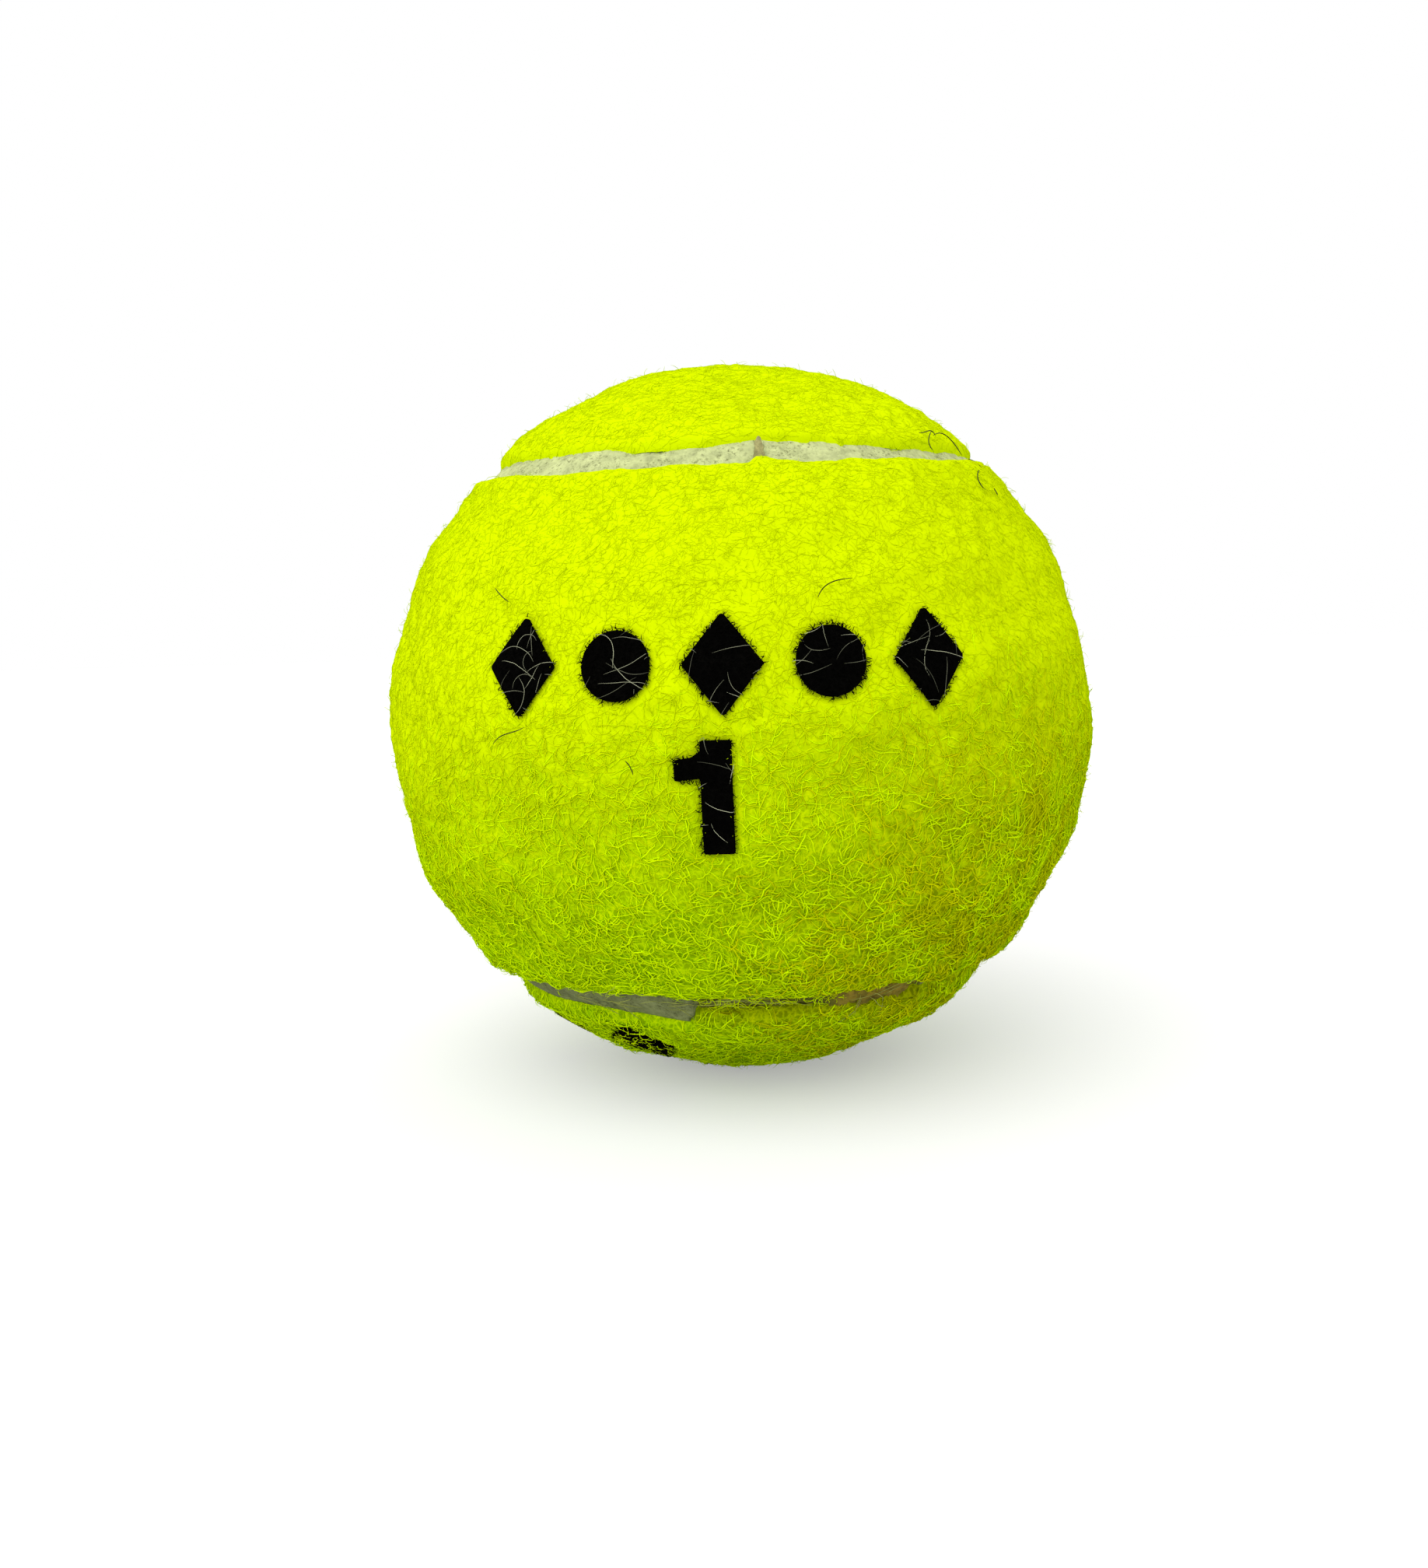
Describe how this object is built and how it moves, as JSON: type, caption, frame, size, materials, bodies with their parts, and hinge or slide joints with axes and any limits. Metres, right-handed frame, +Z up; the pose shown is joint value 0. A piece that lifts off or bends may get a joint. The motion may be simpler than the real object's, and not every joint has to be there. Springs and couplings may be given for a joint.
{
  "type": "tennis ball",
  "caption": "Felt-covered hollow rubber ball: cemented half-shell core, interlocking dog-bone felt panels, recessed rubber seam and a plain printed number.",
  "frame": {"origin": "centre of the ball", "axes": "+Z up, -Y out through the middle of the front panel's waist, +X to the right seen from the printed side"},
  "size_m": [0.067, 0.067, 0.067],
  "materials": {
    "felt": "fluffy woven felt with a raised, slightly matted nap",
    "seam_rubber": "matt, pale, pitted cured rubber",
    "core_rubber": "matt moulded rubber, buffed outside",
    "rubber_cement": "dull cured cement film",
    "ink": "black printing ink soaked into the nap"
  },
  "bodies": {
    "root": {"core_upper_half": "core_rubber", "core_lower_half": "core_rubber", "core_joint_cement": "rubber_cement", "core_cement_coat": "rubber_cement", "front_backing_cement": "rubber_cement", "rear_backing_cement": "rubber_cement", "front_felt_panel": "felt", "rear_felt_panel": "felt", "seam_rubber": "seam_rubber", "front_number_print": "ink", "front_mark_print": "ink", "rear_mark_print": "ink"}
  },
  "joints": []
}
